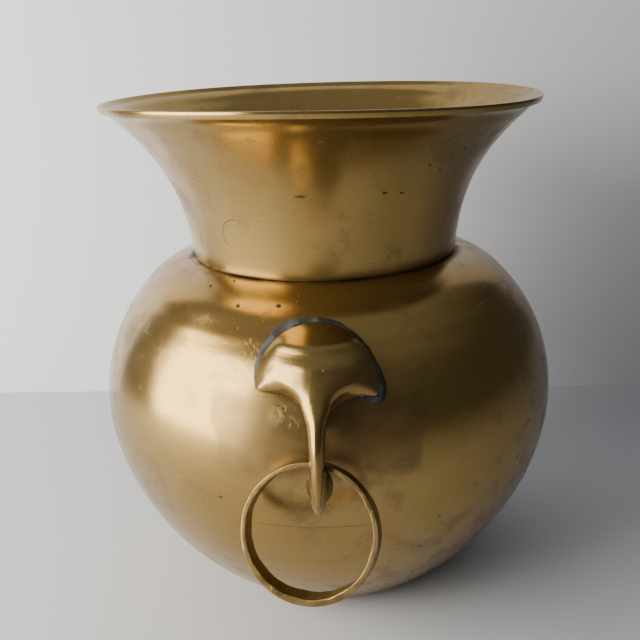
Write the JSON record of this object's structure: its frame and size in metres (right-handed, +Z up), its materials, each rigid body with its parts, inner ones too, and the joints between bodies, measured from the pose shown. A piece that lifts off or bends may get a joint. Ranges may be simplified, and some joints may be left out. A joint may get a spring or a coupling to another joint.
{
  "type": "planter pot",
  "caption": "Brass planter pot with a round body, a flared collar and two fan-shaped cast handles, each holding a loose band ring.",
  "frame": {"origin": "centre of the flat base, on the surface that the pot stands on", "axes": "+Z up along the pot's turning axis, the two handles on -Y (front) and +Y (back)"},
  "size_m": [0.23, 0.2886, 0.2463],
  "materials": {
    "spun_brass": "satin, aged",
    "cast_brass": "satin, aged",
    "ring_brass": "filed, aged",
    "dark_solder": "dull dark grey solder"
  },
  "bodies": {
    "pot": {"body_bowl": "spun_brass", "flared_collar": "spun_brass", "neck_solder": "dark_solder", "front_handle": "cast_brass", "front_bead": "dark_solder", "back_handle": "cast_brass", "back_bead": "dark_solder"},
    "ring_at_front": {"front_ring": "ring_brass"},
    "ring_at_back": {"back_ring": "ring_brass"}
  },
  "joints": [
    {"name": "front_ring_swing", "type": "hinge", "parent": "pot", "child": "ring_at_front", "pos_m": [0, -0.12016, 0.11], "axis": [-0.9781, 0.2079, 0], "range_deg": [-8, 155]},
    {"name": "back_ring_swing", "type": "hinge", "parent": "pot", "child": "ring_at_back", "pos_m": [0, 0.12016, 0.11], "axis": [0.9781, -0.2079, 0], "range_deg": [-8, 155]}
  ]
}
